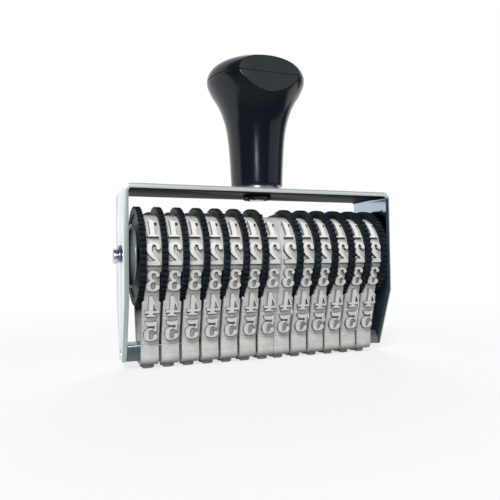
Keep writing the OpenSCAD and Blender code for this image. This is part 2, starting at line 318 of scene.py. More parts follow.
def band_rubber(name, light, dull):
    material, shader, base = new_material(name, {"IOR": 1.45})
    mottle = noise(base, 2.2 * MM)
    grain = noise(base, 0.12 * MM, 2.0)
    clean = step_up(coordinates(base)[2], INK_FULL, INK_GONE)
    tone = mix(((mottle - 0.35) * 2.2).held(), light, dull)
    stained = ((1 - clean) * (0.55 + 0.6 * mottle)).held()
    mix(stained, tone, INKED_RUBBER).to(shader, "Base Color")
    (0.36 + 0.22 * grain).to(shader, "Roughness")
    bump(grain, 0.25, 0.02 * MM).to(shader, "Normal")
    return material


BAND_RUBBER = band_rubber("band_rubber", LIGHT_RUBBER, DULL_RUBBER)
# Painted shade: the ground between the characters is darker than their faces.
SHADED_GROUND_RUBBER = band_rubber("shaded_ground_rubber", (0.66, 0.64, 0.60, 1), (0.52, 0.50, 0.465, 1))
# Painted shade: the steep walls of the characters get this dark rubber, and the walls that face the printing
# row get the darker one after it.
SHADED_WALL_RUBBER = band_rubber("shaded_wall_rubber", (0.34, 0.33, 0.305, 1), (0.24, 0.232, 0.215, 1))
SHADE_RUBBER = band_rubber("shade_rubber", (0.10, 0.097, 0.09, 1), (0.05, 0.048, 0.045, 1))
print("made", BAND_RUBBER.name, SHADED_GROUND_RUBBER.name, SHADED_WALL_RUBBER.name, SHADE_RUBBER.name)

# %% [markdown]
# ## Black plastics
# The wheels are moulded in a black plastic with a slight sheen, greyer where thumbs have rubbed it.
# The handle is the same colour but polished, with faint wiping marks that only show in its gloss,
# and its oval thumb facet is a shade more matt.


# %% Wheel plastic and handle plastics
def wheel_plastic():
    material, shader, base = new_material("wheel_black", {"IOR": 1.12, "Specular Tint": (0.6, 0.8, 1.0, 1)})
    cloud = noise(base, 3.0 * MM)
    grain = noise(base, 0.15 * MM, 2.0)
    rubbed = ((cloud - 0.45) * 3).held()
    mix(rubbed, (0.013, 0.018, 0.024, 1), (0.032, 0.042, 0.052, 1)).to(shader, "Base Color")
    (0.22 + 0.14 * grain + 0.08 * cloud).to(shader, "Roughness")
    bump(grain, 0.2, 0.015 * MM).to(shader, "Normal")
    return material


def handle_plastic(name, dark, pale, roughness, wiping):
    material, shader, base = new_material(name, {"IOR": 1.5, "Specular Tint": (0.82, 0.92, 1.0, 1)})
    wiped = noise(base, 5.0 * MM, 4.0, (1, 1, 5))
    ripple = noise(base, 1.6 * MM, 1.0)
    mix(wiped, dark, pale).to(shader, "Base Color")
    (roughness + wiping * wiped).to(shader, "Roughness")
    bump(ripple, 0.12, 0.02 * MM).to(shader, "Normal")
    return material


WHEEL_BLACK = wheel_plastic()
HANDLE_GLOSS = handle_plastic("handle_gloss", (0.003, 0.004, 0.006, 1), (0.007, 0.008, 0.010, 1), 0.10, 0.12)
HANDLE_FACET = handle_plastic("handle_facet", (0.019, 0.024, 0.025, 1), (0.027, 0.032, 0.033, 1), 0.34, 0.12)
print("made", WHEEL_BLACK.name, HANDLE_GLOSS.name, HANDLE_FACET.name)

# %% [markdown]
# ## Steels
# All the metal is plated steel. One function makes every finish, from the near mirror of the frame
# to the dark spring steel of the rings: a tint, a range of roughness, and the direction in which the
# sheet was rolled or the pin was turned, which draws the noise out into fine streaks. A dark rim tint
# keeps a steel dark at a glancing angle, where plain steel turns white. The function gives back its parts
# as well, so that the two finishes after it can add to them.


# %% Steels
def steel(name, tint, dull, roughness, streaks, depth, rim=(1, 1, 1, 1), metallic=1.0):
    material, shader, base = new_material(name, {"Metallic": metallic, "Specular Tint": rim})
    cloud = noise(base, 6.0 * MM, 2.0)
    streak = noise(base, 0.18 * MM, 2.0, streaks)
    colour = mix(((cloud - 0.35) * 2).held(), (*tint, 1), (*dull, 1))
    rough = roughness * (0.7 + 0.35 * cloud + 0.5 * streak)
    colour.to(shader, "Base Color")
    rough.to(shader, "Roughness")
    bump(streak, 0.3, depth).to(shader, "Normal")
    return material, shader, colour, rough


DARK_RIM = (0.05, 0.06, 0.08, 1)
PIN_STEEL = steel("pin_steel", (0.70, 0.73, 0.76), (0.60, 0.63, 0.67), 0.22, (1, 20, 20), 0.006 * MM)[0]
RING_STEEL = steel("ring_steel", (0.36, 0.40, 0.44), (0.28, 0.32, 0.35), 0.28, (8, 8, 8), 0.004 * MM)[0]
# The washer steel carries a painted sheen: a light green-grey tint and a part-diffuse finish that stand in
# for soft highlights where the washers sit in shade.
WASHER_STEEL_PAINTED_SHEEN = steel(
    "washer_steel", (0.42, 0.48, 0.47), (0.28, 0.33, 0.32), 0.3, (20, 20, 20), 0.004 * MM, metallic=0.6
)[0]
NUT_STEEL = steel(
    "nut_steel", (0.14, 0.16, 0.18), (0.08, 0.10, 0.12), 0.24, (8, 8, 1), 0.005 * MM, DARK_RIM
)[0]
print("made pin, ring, washer and nut steel")

# %% [markdown]
# ### The frame's sheet and the bridge's bar
# A punched and bent sheet is not the same all over. Its outer faces are bright. Its cut edges are
# matt, because the punch tears the steel, with a painted highlight on the top plate's edge and a
# painted dark reflection along the rounded upper corner. The right plate's edge carries painted shade,
# but for a painted highlight line along its outer side. The inner faces carry painted shade in dark
# blue-grey, except high up on the side plates, where the steel mirrors the last wheel through a painted
# blue-grey tint. The bar's dark grey tint is a painted dark reflection, with a painted highlight along its
# upper edges. All of this is a matter of place, so each mask is a sum on the Object coordinates.

# %% Places on the sheet
frame_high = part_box("frame")[1]
bar_low, bar_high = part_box("bridge")
SHEET = 1.2 * MM
INNER_X = frame_high.x - SHEET
INNER_Z = frame_high.z - SHEET
FOOT_HALF, FOOT_Z, TAPER = 3.1 * MM, 2.7 * MM, 6.0 / 16.1
SHADE_STOPS_FROM, SHADE_STOPS_TO = 33.0 * MM, 36.0 * MM


def sheet_masks(x, y, z):
    """Masks of the cut edges, the inner faces and the part of those without painted shade, and how deep in
    they are.
    """
    far_x, far_y = x.math("ABSOLUTE", x, 0), y.math("ABSOLUTE", y, 0)
    half_depth = z.math("MINIMUM", frame_high.y, FOOT_HALF + (z - FOOT_Z) * TAPER)
    cut = step_up(far_y - half_depth, -0.16 * MM, -0.08 * MM)
    between = 1 - step_up(far_x, INNER_X + 0.02 * MM, INNER_X + 0.12 * MM)
    below_top = 1 - step_up(z, INNER_Z + 0.02 * MM, INNER_Z + 0.12 * MM)
    on_plate = step_up(far_x, INNER_X - 0.3 * MM, INNER_X - 0.1 * MM)
    under_top = 1 - step_up(z, INNER_Z - 0.5 * MM, INNER_Z - 0.2 * MM)
    high_up = on_plate * step_up(z, SHADE_STOPS_FROM, SHADE_STOPS_TO) * under_top
    deep_in = step_up(half_depth - far_y, 0.1 * MM, 3.0 * MM)
    return cut, between * below_top, high_up, deep_in


print("sheet", round(SHEET / MM, 2), "mm, inner faces at", round(INNER_X / MM, 2), round(INNER_Z / MM, 2))

# %% The sheet's finish
CUT_SIDE, CUT_TOP_HIGHLIGHT = (0.47, 0.53, 0.50, 1), (0.74, 0.78, 0.75, 1)
CUT_CORNER_DARK_REFLECTION, CUT_RIGHT_PAINTED_SHADE = (0.22, 0.24, 0.24, 1), (0.035, 0.050, 0.048, 1)
INSIDE_REFLECTION_TINT = (0.42, 0.50, 0.60, 1)
# Painted shade for the inner faces: a dark blue-grey, darker deeper in, on a shader that stays dark at a
# glancing angle.
INNER_PAINTED_SHADE, INNER_PAINTED_SHADE_DEEP = (0.085, 0.105, 0.13, 1), (0.050, 0.075, 0.115, 1)
PAINTED_SHADE_SETTINGS = {
    "Metallic": 0.7, "Roughness": 0.4, "Specular IOR Level": 0.1, "Specular Tint": (0.03, 0.04, 0.06, 1),
}


def cut_colour(x, z):
    """The colour of the cut edges, by their place on the frame."""
    # The top plate's edge gets a painted highlight, the rounded upper corner a painted dark reflection, and
    # the right plate's edge painted shade with a painted highlight line along its outer side.
    corner = step_up(z, frame_high.z - 0.40 * MM, frame_high.z - 0.20 * MM)
    on_top = step_up(z, INNER_Z - 0.8 * MM, INNER_Z)
    on_right = step_up(x, INNER_X - 0.1 * MM, INNER_X)
    highlight_line = step_up(x, frame_high.x - 0.42 * MM, frame_high.x - 0.28 * MM)
    sides = mix(on_right * (1 - highlight_line), CUT_SIDE, CUT_RIGHT_PAINTED_SHADE)
    return mix(corner * 0.6, mix(on_top, sides, CUT_TOP_HIGHLIGHT), CUT_CORNER_DARK_REFLECTION)


def frame_zinc():
    material, shader, bright, rough = steel(
        "frame_zinc", (0.80, 0.86, 0.89), (0.74, 0.81, 0.85), 0.11, (30, 30, 1), 0.004 * MM
    )
    x, y, z = coordinates(bright)
    cut, inside, high_up, deep_in = sheet_masks(x, y, z)
    # High up on the side plates the steel shows its own mirror reflection, tinted by a painted blue-grey.
    clean = mix(inside * high_up, bright, INSIDE_REFLECTION_TINT)
    mix(cut, clean, cut_colour(x, z)).to(shader, "Base Color")
    (rough * (1 - cut) + 0.42 * cut).to(shader, "Roughness")
    (1 - 0.6 * cut).to(shader, "Metallic")
    # Painted shade on the inner faces, mixed in by place.
    shade_tone = mix(deep_in, INNER_PAINTED_SHADE, INNER_PAINTED_SHADE_DEEP)
    shade_shader = shade_tone.node("ShaderNodeBsdfPrincipled", inputs={"Base Color": shade_tone} | PAINTED_SHADE_SETTINGS)
    plain = Socket(shade_tone.tree, shader.outputs[0])
    where = inside * (1 - high_up) * (1 - cut)
    both = where.node("ShaderNodeMixShader", inputs={0: where, 1: plain, 2: shade_shader})
    both.to(material.node_tree.nodes["Material Output"], "Surface")
    return material


FRAME_ZINC = frame_zinc()
print("made", FRAME_ZINC.name)

# %% The bar's finish
PAINTED_EDGE_HIGHLIGHT = (0.80, 0.88, 0.94, 1)
UPPER_EDGE = bar_high.y + bar_high.z


def bridge_zinc():
    # The bar's dark teal tint is a painted dark reflection.
    material, shader, plain, _ = steel(
        "bridge_zinc", (0.135, 0.18, 0.18), (0.09, 0.13, 0.135), 0.24, (40, 1, 1), 0.006 * MM
    )
    _, y, z = coordinates(plain)
    far_y = y.math("ABSOLUTE", y, 0)
    # Painted highlight along the bar's upper edges.
    edge_highlight = step_up(far_y + z, UPPER_EDGE - 0.30 * MM, UPPER_EDGE - 0.14 * MM)
    mix(edge_highlight, plain, PAINTED_EDGE_HIGHLIGHT).to(shader, "Base Color")
    return material


BRIDGE_ZINC = bridge_zinc()
print("made", BRIDGE_ZINC.name, "and", len(bpy.data.materials), "materials in all")

# %% [markdown]
# ## Helpers for modelling
# Every piece below is modelled as by hand: a primitive is shaped in edit mode, and modifiers are
# applied. An operator acts on whatever is selected, so each step first picks exactly its faces,
# edges or corners, by their place or the way that they face.


# %% Picking, finishing and placing
def only(piece):
    """Selects one piece and nothing else."""
    bpy.ops.object.select_all(action="DESELECT")
    piece.select_set(True)
    bpy.context.view_layer.objects.active = piece


def pick(piece, kind, test=lambda part: True):
    """Opens edit mode on a piece, with only the parts of that kind selected that pass the test."""
    only(piece)
    bpy.ops.object.mode_set(mode="EDIT")
    bpy.ops.mesh.select_mode(type=kind)
    bpy.ops.mesh.select_all(action="DESELECT")
    edit = bmesh.from_edit_mesh(piece.data)
    parts = {"FACE": edit.faces, "EDGE": edit.edges, "VERT": edit.verts}[kind]
    edit.normal_update()
    for part in parts:
        if test(part):
            part.select_set(True)
    bmesh.update_edit_mesh(piece.data)


def done():
    """Leaves edit mode."""
    bpy.ops.object.mode_set(mode="OBJECT")


def tidy(piece, merge=0.002 * MM):
    """Merges doubled corners and turns every face outwards."""
    pick(piece, "VERT")
    bpy.ops.mesh.remove_doubles(threshold=merge)
    bpy.ops.mesh.normals_make_consistent(inside=False)
    done()


def soften(piece, width, angle, segments=2):
    """Rounds the edges that are sharper than the angle, in degrees."""
    only(piece)
    bevel = piece.modifiers.new("bevel", "BEVEL")
    bevel.width = width
    bevel.segments = segments
    bevel.limit_method = "ANGLE"
    bevel.angle_limit = math.radians(angle)
    bevel.use_clamp_overlap = True
    bpy.ops.object.modifier_apply(modifier=bevel.name)


def smooth(piece, angle=32):
    """Smooth shading, except over edges that are sharper than the angle, in degrees."""
    only(piece)
    bpy.ops.object.shade_smooth_by_angle(angle=math.radians(angle))


def settle(piece):
    """Applies a piece's place, so that its object sits at the origin."""
    only(piece)
    bpy.ops.object.transform_apply(location=True, rotation=True, scale=True)


def dress(piece, *materials):
    """Gives a piece its materials, in the order of the numbers that its faces will carry."""
    piece.data.materials.clear()
    for material in materials:
        piece.data.materials.append(material)


def finish_piece(piece, name, body, nodes=()):
    """Names a piece that is dressed, and makes it ride on its body for the nodes it stands for."""
    piece.name = name
    piece.data.name = name
    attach(piece, body)
    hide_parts(*nodes)
    return piece


print("helpers: only, pick, done, tidy, soften, smooth, settle, dress, finish_piece")

# %% [markdown]
# ## The characters
# The type is a bold book face, with thick and thin strokes, ball ends and flat feet. Each outline is
# drawn the way it reads, in a box 100 wide and 140 high about its middle. A point is smooth unless it
# is marked as a sharp corner, so a bow needs only the points where it turns. The curve is filled,
# made a mesh and raised in edit mode by one extrude and three insets, which give it the sloping
# shoulders and the soft upper edge of moulded rubber type.

# %% Outlines
SHARP = True
NINE_AND_SIX = [
    [
        (0, -70), (40, -57), (50, -25), (37, 8), (6, 19), (-9, 12, SHARP), (-7, 38), (4, 55),
        (13, 57, SHARP), (15, 44), (28, 31), (43, 41), (38, 61), (8, 70), (-30, 54), (-50, 0), (-38, -53),
    ],
    [(3, 4), (13, -25), (3, -55), (-8, -25)],
]
OUTLINES = {
    "0": [
        [(0, 70), (-38, 48), (-50, 0), (-38, -48), (0, -70), (38, -48), (50, 0), (38, 48)],
        [(0, 54), (11, 36), (14, 0), (11, -36), (0, -54), (-11, -36), (-14, 0), (-11, 36)],
    ],
    "1": [[
        (-38, -70, SHARP), (38, -70, SHARP), (38, -57, SHARP), (20, -53, SHARP), (20, 70, SHARP),
        (6, 70, SHARP), (-12, 54), (-38, 48, SHARP), (-38, 35, SHARP), (-18, 37, SHARP), (-18, -53, SHARP),
        (-38, -57, SHARP),
    ]],
    "2": [[
        (-48, -70, SHARP), (46, -70, SHARP), (50, -38, SHARP), (40, -42), (-8, -40, SHARP), (26, -16),
        (49, 14), (48, 46), (28, 66), (-4, 70), (-38, 58), (-48, 36), (-34, 19), (-15, 27), (-14, 42),
        (-4, 55), (6, 44), (10, 24), (-4, -6), (-48, -50, SHARP),
    ]],
    "3": [[
        (-2, 70), (32, 62), (43, 38), (34, 14), (22, 3, SHARP), (40, -8), (50, -34), (38, -60), (0, -70),
        (-38, -60), (-48, -40), (-34, -23), (-15, -31), (-14, -46), (-4, -55), (8, -48), (13, -30),
        (6, -10), (-14, -5, SHARP), (-14, 9, SHARP), (2, 16), (9, 36), (4, 51), (-5, 55), (-12, 48),
        (-13, 36), (-28, 24), (-44, 38), (-34, 60),
    ]],
    "4": [
        [
            (-50, -30, SHARP), (0, 70, SHARP), (24, 70, SHARP), (24, -30, SHARP), (50, -30, SHARP),
            (50, -46, SHARP), (24, -46, SHARP), (24, -56, SHARP), (42, -59, SHARP), (42, -70, SHARP),
            (-28, -70, SHARP), (-28, -59, SHARP), (-10, -56, SHARP), (-10, -46, SHARP), (-50, -46, SHARP),
        ],
        [(-10, -29, SHARP), (-33, -29, SHARP), (-10, 20, SHARP)],
    ],
    "5": [[
        (-38, 70, SHARP), (-8, 62), (42, 70, SHARP), (41, 50), (22, 36), (-22, 36, SHARP), (-22, 16, SHARP),
        (6, 23), (38, 12), (50, -22), (37, -58), (-2, -70), (-40, -58), (-50, -38), (-36, -21), (-16, -30),
        (-14, -45), (-4, -55), (8, -48), (13, -24), (7, 2), (-6, 9), (-24, 0, SHARP), (-38, 0, SHARP),
    ]],
    "6": NINE_AND_SIX,
    "7": [[
        (-47, 70, SHARP), (50, 70, SHARP), (50, 56, SHARP), (24, 8), (16, -32), (17, -70, SHARP),
        (-25, -70, SHARP), (-20, -30), (4, 12), (28, 42, SHARP), (-20, 43), (-34, 28, SHARP),
        (-47, 28, SHARP),
    ]],
    "8": [
        [
            (0, 70), (32, 61), (43, 38), (34, 13), (26, 4, SHARP), (42, -8), (50, -36), (36, -62), (0, -70),
            (-36, -62), (-50, -36), (-42, -8), (-26, 4, SHARP), (-34, 13), (-43, 38), (-32, 61),
        ],
        [(0, 55), (10, 35), (0, 15), (-10, 35)],
        [(0, -8), (12, -32), (0, -55), (-12, -32)],
    ],
    "9": [[(-x, -y, *kind) for x, y, *kind in loop] for loop in NINE_AND_SIX],
    ".": [[(0, -32), (18, -51), (0, -70), (-18, -51)]],
    "/": [[(-46, -70, SHARP), (-18, -70, SHARP), (46, 70, SHARP), (18, 70, SHARP)]],
}
print("outlines:", " ".join(OUTLINES))

# %% [markdown]
# ### Raising a character
# A stamp's characters are mirrored, so that they print the right way round. The outline is mirrored
# as it is drawn, while the shoulders slope in on every side.

# %% Draw a flat character
CHAR_W, CHAR_H = 3.72 * MM, 5.5 * MM
BOX_W, BOX_H = 100, 140


def flat_character(name):
    """The filled, mirrored outline of a character, as a mesh that faces up."""
    curve = bpy.data.curves.new("character_" + name, "CURVE")
    curve.dimensions = "2D"
    curve.fill_mode = "BOTH"
    curve.resolution_u = 4
    for outline in OUTLINES[name]:
        spline = curve.splines.new("BEZIER")
        spline.use_cyclic_u = True
        spline.bezier_points.add(len(outline) - 1)
        for point, (x, y, *kind) in zip(spline.bezier_points, outline):
            point.co = (-x * CHAR_W / BOX_W, y * CHAR_H / BOX_H, 0)
            point.handle_left_type = point.handle_right_type = "VECTOR" if kind else "AUTO"
    piece = bpy.data.objects.new("character", curve)
    scene.collection.objects.link(piece)
    only(piece)
    bpy.ops.object.convert(target="MESH")
    piece = bpy.context.active_object
    pick(piece, "VERT")
    bpy.ops.mesh.remove_doubles(threshold=0.004 * MM)
    done()
    if sum(face.normal.z for face in piece.data.polygons) < 0:
        pick(piece, "FACE")
        bpy.ops.mesh.flip_normals()
        done()
    return piece


print("characters", round(CHAR_W / MM, 2), "x", round(CHAR_H / MM, 2), "mm")

# %% Raise it
ROOT = 0.2 * MM
STEEP = 0.3
SHOULDERS = ((0.06 * MM, 0.62 * MM), (0.03 * MM, 0.33 * MM), (0.05 * MM, 0.1 * MM))
ON_FACE, ON_WALL, ON_SHADED_WALL = 0, 1, 2


def character(name):
    """A raised, mirrored character whose face points up, with its root a little below z = 0."""
    piece = flat_character(name)
    pick(piece, "FACE")
    bpy.ops.transform.translate(value=(0, 0, -ROOT))
    bpy.ops.mesh.extrude_region_move(TRANSFORM_OT_translate={"value": (0, 0, ROOT)})
    for narrower, higher in SHOULDERS:
        bpy.ops.mesh.inset(thickness=narrower, depth=higher, use_even_offset=False)
    done()
    # Painted shade: steep walls get the dark rubber, and walls that face down towards the printing row get
    # the darker one.
    dress(piece, BAND_RUBBER, SHADED_WALL_RUBBER, SHADE_RUBBER)
    for face in piece.data.polygons:
        wall = ON_SHADED_WALL if face.normal.y < -STEEP / 2 else ON_WALL
        face.material_index = wall if abs(face.normal.z) < STEEP else ON_FACE
    return piece


print("raised in", len(SHOULDERS), "steps")

# %% [markdown]
# ## The band
# A real band is moulded flat and then joined into a loop. It is made the same way here: a flat strip
# with fine lines across it between the characters, and a few more where it creases at the steel bar.
# The strip has only as many cuts along it as the bends need. Where a toothed rim turns past an edge,
# the edge is cut back a little, because a modelled band can't flex out of the way as rubber does.

# %% The legs of the loop
band_low, band_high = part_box("band_01")
BAND_W = band_high.x - band_low.x
BAND_T = 1.15 * MM
RELIEF = bar_low.z - BAND_T
AXLE_Z = (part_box("wheel_01")[0].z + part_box("wheel_01")[1].z) / 2
HALF_D = bar_high.y + BAND_T
CORNER_R = 1.5 * MM
TOP_R = 10.9 * MM
arm_d, arm_h = HALF_D, AXLE_Z - bar_high.z
arm = math.hypot(arm_d, arm_h)
LEAN = math.atan2(arm_h, arm_d) - math.acos(TOP_R / arm)
CREASE = 0.8 * MM
LEGS = [
    (HALF_D - CORNER_R, 0.0),
    (CORNER_R * math.pi / 2, math.pi / 2),
    (bar_high.z - RELIEF - CORNER_R - CREASE / 2, 0.0),
    (CREASE, -LEAN),
    (math.sqrt(arm * arm - TOP_R * TOP_R) - CREASE / 2, 0.0),
    (TOP_R * (math.pi / 2 + LEAN), math.pi / 2 + LEAN),
]
HALF_LEN = sum(length for length, turn in LEGS)
FRONT = [" ", "5", "4", "3", "2", "1", " "]
BACK = [" ", "7", "8", "9", "0", ".", "/"]
SLOTS = dict(enumerate(["6"] + FRONT)) | {-1 - i: c for i, c in enumerate(BACK)}
SLOT = 2 * HALF_LEN / len(SLOTS)
print("band", round(BAND_W / MM, 2), "mm wide, loop", round(2 * HALF_LEN / MM, 2), "mm long")
print("lean", round(math.degrees(LEAN), 2), "degrees, slot", round(SLOT / MM, 3), "mm")

# %% Score a line and relieve an edge
CUT = 0.55 * MM
S_DRUM = HALF_LEN - LEGS[-1][0]
WHEEL_R, RIM_W, RIM_IN_R = 13.15 * MM, 1.5 * MM, 11.1 * MM
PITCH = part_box("band_02")[0].x - band_low.x
CLEAR = 0.1 * MM
SLOPE = 0.5 * MM
FREE_X = (PITCH - RIM_W) / 2 - CLEAR
PAST_FROM = S_DRUM - math.sqrt((WHEEL_R + CLEAR) ** 2 - (TOP_R - BAND_T) ** 2) - SLOPE
PAST_TO = S_DRUM - math.sqrt((RIM_IN_R - CLEAR) ** 2 - TOP_R**2) + SLOPE


def cut_across(strip, at, near):
    """Cuts the strip across at a length along it, through the faces about the length near."""
    pick(strip, "FACE", lambda face: abs(face.calc_center_median().y - near) < 4 * CUT)
    bpy.ops.mesh.bisect(plane_co=(0, at, 0), plane_no=(0, 1, 0))
    done()


def score(strip, at, half_w, depth):
    """Presses a fine V-shaped line across the strip."""
    for side in (-half_w, 0, half_w):
        cut_across(strip, at + side, at)
    pick(strip, "VERT", lambda v: abs(v.co.y - at) < half_w / 4 and v.co.z > -BAND_T / 2)
    bpy.ops.transform.translate(value=(0, 0, -depth))
    done()


def relieve(strip, side):
    """Takes a little off one edge of the strip, front and back, where a toothed rim turns past it."""
    for end in (-1, 1):
        near, far = sorted((end * PAST_FROM, end * PAST_TO))
        for at in (near, near + SLOPE, far - SLOPE, far):
            cut_across(strip, at, at)
        inner = (near + SLOPE / 2, far - SLOPE / 2)
        pick(strip, "VERT", lambda v: v.co.x * side > BAND_W / 4 and inner[0] < v.co.y < inner[1])
        bpy.ops.transform.translate(value=(side * (FREE_X - BAND_W / 2), 0, 0))
        done()


print("edges free of the rims from", round(PAST_FROM / MM, 1), "to", round(PAST_TO / MM, 1), "mm")

# %% The flat strip
EVERY = round(2 * HALF_LEN / CUT)
S_CREASE = sum(length for length, turn in LEGS[:3]) + CREASE / 2
CREASES = ((0, 0.16), (-1.1, 0.07), (-2.0, 0.09), (-2.7, 0.06))
SLOT_LINE, CREASE_LINE = 0.13 * MM, 0.12 * MM


def flat_strip(rims):
    """A flat strip with its lines pressed in, relieved on the sides where rims turn."""
    bpy.ops.object.select_all(action="DESELECT")
    bpy.ops.mesh.primitive_grid_add(x_subdivisions=1, y_subdivisions=EVERY, size=1)
    strip = bpy.context.active_object
    strip.scale = (BAND_W, 2 * HALF_LEN, 1)
    settle(strip)
    pick(strip, "FACE")
    bpy.ops.mesh.extrude_region_move(TRANSFORM_OT_translate={"value": (0, 0, -BAND_T)})
    bpy.ops.mesh.select_all(action="SELECT")
    bpy.ops.mesh.normals_make_consistent(inside=False)
    done()
    pick(strip, "FACE", lambda face: abs(face.normal.y) > 0.9)
    bpy.ops.mesh.delete(type="FACE")
    done()
    for end in (-1, 1):
        for i in range(len(FRONT)):
            score(strip, end * (i + 0.5) * SLOT, SLOT_LINE, 0.1 * MM)
        for off, depth in CREASES:
            score(strip, end * (S_CREASE + off * MM), CREASE_LINE, depth * MM)
    for side in rims:
        relieve(strip, side)
    soften(strip, 0.14 * MM, 60)
    # The strip's ground gets the rubber with painted shade.
    dress(strip, SHADED_GROUND_RUBBER)
    return strip


print("strip:", EVERY, "cuts")

# %% [markdown]
# ### Wrapping the strip
# The loop is six legs on each side: half the printing row, a corner, a short upright, the crease at
# the bar, the long run up to the drum and the way over it. A point of the flat strip walks along
# these legs by its length, and its height is then taken square to the strip. A modifier could bend a
# strip once, but not through six bends of different radius, so a loop over the corners does it.


# %% Walk along the loop
def walked(along, high):
    """Depth and height of the point that lies along the loop, and high above its outer face."""
    spot, heading = complex(0, RELIEF), 0.0
    for length, turn in LEGS:
        step = min(along, length)
        along -= step
        ahead = heading + turn * step / length
        if turn:
            spot += (cmath.exp(1j * ahead) - cmath.exp(1j * heading)) * length / (1j * turn)
        else:
            spot += step * cmath.exp(1j * heading)
        heading = ahead
    return spot - 1j * high * cmath.exp(1j * heading)


print("top of the loop at", round(walked(HALF_LEN, 0).imag / MM, 2), "mm")


# %% Place the characters and wrap
def sliced(piece, first, last):
    """Cuts a piece across at every small step, so that it can follow a bend."""
    count = math.ceil((last - first) / CUT)
    for i in range(1, count):
        pick(piece, "FACE")
        bpy.ops.mesh.bisect(plane_co=(0, first + (last - first) * i / count, 0), plane_no=(0, 1, 0))
        done()


def number_band(rims):
    """A whole band about x = 0, relieved on the sides where rims turn."""
    strip = flat_strip(rims)
    letters = []
    for index, name in SLOTS.items():
        if name == " ":
            continue
        letter = character(name)
        letter.location.y = index * SLOT
        settle(letter)
        first, last = index * SLOT - CHAR_H / 2, index * SLOT + CHAR_H / 2
        if max(abs(first), abs(last)) > S_DRUM:
            sliced(letter, first, last)
        letters.append(letter)
    only(strip)
    for letter in letters:
        letter.select_set(True)
    bpy.ops.object.join()
    for corner in strip.data.vertices:
        spot = walked(abs(corner.co.y), corner.co.z)
        front = -1 if corner.co.y > 0 else 1
        corner.co = (corner.co.x, front * spot.real, spot.imag)
    tidy(strip, 0.006 * MM)
    smooth(strip, 38)
    return strip


PATTERNS = {rims: number_band(rims) for rims in ((-1, 1), (-1,), (1,))}
print("bands modelled:", [len(band.data.polygons) for band in PATTERNS.values()], "faces")

# %% [markdown]
# ### Thirteen bands
# All the bands stand at the same characters. Most have a toothed rim on either side, and the two in
# the middle have one on their outer side only, so three patterns are copied, each copy with its own
# mesh, and moved along the axle to the middle of its CAD node.

# %% Copy the band
COUNT = 13
LEFT = 7


def copy_to(pattern, at, flip=False):
    """A copy with its own mesh, moved along the axle and mirrored if flip is set."""
    made = pattern.copy()
    made.data = pattern.data.copy()
    scene.collection.objects.link(made)
    if flip:
        made.scale.x = -1
    made.location.x = at
    settle(made)
    if flip:
        tidy(made)
    return made


for n in range(1, COUNT + 1):
    node = f"band_{n:02d}"
    low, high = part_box(node)
    rims = {LEFT: (-1,), LEFT + 1: (1,)}.get(n, (-1, 1))
    band = copy_to(PATTERNS[rims], (low.x + high.x) / 2)
    finish_piece(band, f"number_band_{n:02d}", "stamp", nodes=[node])
for pattern in PATTERNS.values():
    bpy.data.objects.remove(pattern)
print("bands:", COUNT)

# %% [markdown]
# ## The thumb wheels
# A wheel is a thin web with a toothed rim round it, and the drum that carries the band on one side.
# It starts as a disc with two sides to a tooth. Every second side is pushed out for a tooth, the two
# flat faces are inset and pushed in for the web, one of them is pulled out again for the drum, and
# the bore joins both ends. A last bevel rounds the teeth as moulding does. From the eighth on, the
# wheels are fitted the other way round, so those are mirrored copies.

# %% Start with a disc
TEETH = 54
TOOTH = 0.5 * MM
ROOT_R = WHEEL_R - TOOTH
WEB_T = 0.56 * MM
DRUM_R = 9.65 * MM
DRUM_END = 2.32 * MM
BORE_R = 2.05 * MM
RIM_X = -PITCH / 2
LIP_W, LIP_DEPTH = 0.5 * MM, 0.12 * MM
AXLE = (0, 0, AXLE_Z)

bpy.ops.object.select_all(action="DESELECT")
bpy.ops.mesh.primitive_cylinder_add(
    vertices=2 * TEETH, radius=ROOT_R, depth=RIM_W, location=(RIM_X, 0, AXLE_Z), rotation=(0, math.pi / 2, 0)
)
wheel = bpy.context.active_object
settle(wheel)
print("disc:", len(wheel.data.polygons), "faces")


# %% Pick the teeth and the ends
def is_tooth(face):
    """Every second side of the disc."""
    middle = face.calc_center_median()
    turn = math.atan2(middle.z - AXLE_Z, middle.y) / (math.pi / TEETH)
    return abs(face.normal.x) < 0.5 and math.floor(turn) % 2 == 0


def is_end(side):
    """The flat face round the axle on one side."""
    def test(face):
        middle = face.calc_center_median()
        return face.normal.x * side > 0.9 and math.hypot(middle.y, middle.z - AXLE_Z) < 0.2 * MM
    return test


def step_in(side, narrower, move):
    """Insets the end face on one side and moves it along the axle."""
    pick(wheel, "FACE", is_end(side))
    bpy.ops.mesh.inset(thickness=narrower, depth=0, use_even_offset=True)
    bpy.ops.mesh.extrude_region_move(TRANSFORM_OT_translate={"value": (move, 0, 0)})
    done()


print("helpers: is_tooth, is_end, step_in")

# %% Shape the wheel
pick(wheel, "FACE", is_tooth)
bpy.ops.mesh.extrude_region_move()
bpy.ops.transform.resize(value=(1, WHEEL_R / ROOT_R, WHEEL_R / ROOT_R), center_override=AXLE)
done()
recess = (RIM_W - WEB_T) / 2
for side in (-1, 1):
    step_in(side, LIP_W, -side * LIP_DEPTH)
    step_in(side, ROOT_R - LIP_W - RIM_IN_R, -side * (recess - LIP_DEPTH))
step_in(1, RIM_IN_R - DRUM_R, DRUM_END - RIM_X - WEB_T / 2)
for side, radius in ((-1, RIM_IN_R), (1, DRUM_R)):
    pick(wheel, "FACE", is_end(side))
    bpy.ops.mesh.inset(thickness=radius - BORE_R, depth=0, use_even_offset=True)
    done()
pick(wheel, "FACE", lambda face: is_end(-1)(face) or is_end(1)(face))
bpy.ops.mesh.bridge_edge_loops()
done()
tidy(wheel)
soften(wheel, 0.13 * MM, 40)
smooth(wheel)
print("wheel:", len(wheel.data.polygons), "faces")

